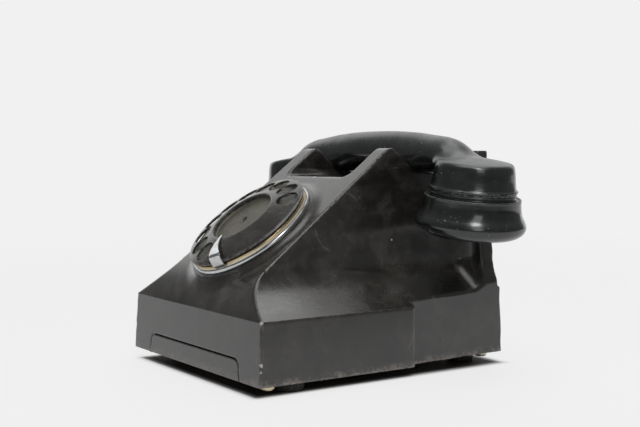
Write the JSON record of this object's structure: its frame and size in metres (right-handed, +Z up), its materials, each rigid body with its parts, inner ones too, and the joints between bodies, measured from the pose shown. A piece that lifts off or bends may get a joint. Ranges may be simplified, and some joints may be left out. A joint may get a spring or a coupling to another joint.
{
  "type": "desk telephone",
  "caption": "Black bakelite desk telephone with rotary dial, handset on a cradle, memo drawer, working cradle switch, governor and bell ringer inside.",
  "frame": {"origin": "on the floor, under the middle of the moulded case", "axes": "+Z up, -Y is the front that the dial faces, +X to the right seen from the front"},
  "size_m": [0.2388, 0.1734, 0.1392],
  "materials": {
    "case_bakelite": "polished black moulding, worn and dusty",
    "handset_bakelite": "polished black moulding, cooler than the case",
    "rubber": "dull black",
    "screw_brass": "tarnished, slotted heads",
    "bezel_chrome": "bright, slightly pitted",
    "label_metal": "dull grey brass, brushed",
    "ring_enamel": "ivory enamel with black figures",
    "clockwork_brass": "machined",
    "sheet_steel": "dull plated steel",
    "gong_steel": "plated bell metal",
    "winding": "varnished cloth over the winding",
    "fibre_board": "brown pressed fibre"
  },
  "bodies": {
    "base": {"case": "case_bakelite", "base_plate": "sheet_steel", "case_screw_front_left": "screw_brass", "case_screw_front_right": "screw_brass", "case_screw_rear_left": "screw_brass", "case_screw_rear_right": "screw_brass", "foot_front_left": "rubber", "foot_front_right": "rubber", "foot_rear_left": "rubber", "foot_rear_right": "rubber", "drawer_runner_left": "sheet_steel", "drawer_runner_right": "sheet_steel", "dial_bezel": "bezel_chrome", "number_ring": "ring_enamel", "dial_frame": "sheet_steel", "finger_stop": "bezel_chrome", "pulse_springs": "clockwork_brass", "return_spring_barrel": "clockwork_brass", "switch_bracket": "sheet_steel", "switch_springs": "clockwork_brass", "gong_left": "gong_steel", "gong_right": "gong_steel", "gong_post_left": "clockwork_brass", "gong_post_right": "clockwork_brass", "ringer_yoke": "sheet_steel", "ringer_coil_left": "winding", "ringer_coil_right": "winding", "terminal_block": "fibre_board", "capacitor": "sheet_steel", "induction_coil": "winding", "handset_cord_grommet": "rubber", "line_cord_grommet": "rubber"},
    "drawer": {"drawer_flap": "case_bakelite", "drawer_tray": "sheet_steel"},
    "dial_rotor": {"finger_plate": "case_bakelite", "label_cup": "label_metal", "dial_shaft": "sheet_steel", "dial_gear": "clockwork_brass", "pulse_cam": "fibre_board"},
    "governor_drive": {"governor_pinion": "clockwork_brass"},
    "governor": {"governor_spindle": "sheet_steel"},
    "handset": {"handset_shell": "handset_bakelite", "ear_cap": "handset_bakelite", "mouth_cap": "handset_bakelite", "receiver_capsule": "sheet_steel", "transmitter_capsule": "sheet_steel", "handset_cord_bush": "rubber"},
    "cradle_switch": {"plunger_left": "case_bakelite", "plunger_right": "case_bakelite", "switch_bar": "sheet_steel"},
    "striker": {"clapper": "clockwork_brass"}
  },
  "joints": [
    {"name": "drawer_pull", "type": "slide", "parent": "base", "child": "drawer", "axis": [0, -1, 0], "range_m": [0, 0.075]},
    {"name": "dial_turn", "type": "hinge", "parent": "base", "child": "dial_rotor", "pos_m": [0, -0.04485, 0.07933], "axis": [0, 0.6088, -0.7934], "range_deg": [0, 337.5], "stiffness_Nm_per_rad": 0.02},
    {"name": "governor_drive_turn", "type": "hinge", "parent": "base", "child": "governor_drive", "pos_m": [0, -0.027, 0.09303], "axis": [0, 0.6088, -0.7934], "range_deg": [-1351, 1]},
    {"name": "governor_spin", "type": "hinge", "parent": "base", "child": "governor", "pos_m": [0, -0.02502, 0.07722], "axis": [1, 0, 0], "range_deg": [-5401, 1]},
    {"name": "handset_lift", "type": "slide", "parent": "base", "child": "handset", "axis": [0, 0, 1], "range_m": [0, 0.15]},
    {"name": "cradle_press", "type": "slide", "parent": "base", "child": "cradle_switch", "axis": [0, 0, 1], "range_m": [0, 0.005]},
    {"name": "clapper_swing", "type": "hinge", "parent": "base", "child": "striker", "pos_m": [0, 0.0093, 0.0527], "axis": [0, 0, 1], "range_deg": [-2.5, 2.5], "stiffness_Nm_per_rad": 0.002}
  ],
  "couplings": [
    {"joint": "governor_drive_turn", "follows": "dial_turn", "ratio": -4},
    {"joint": "governor_spin", "follows": "dial_turn", "ratio": -16},
    {"joint": "cradle_press", "follows": "handset_lift", "ratio": 0.033333}
  ]
}
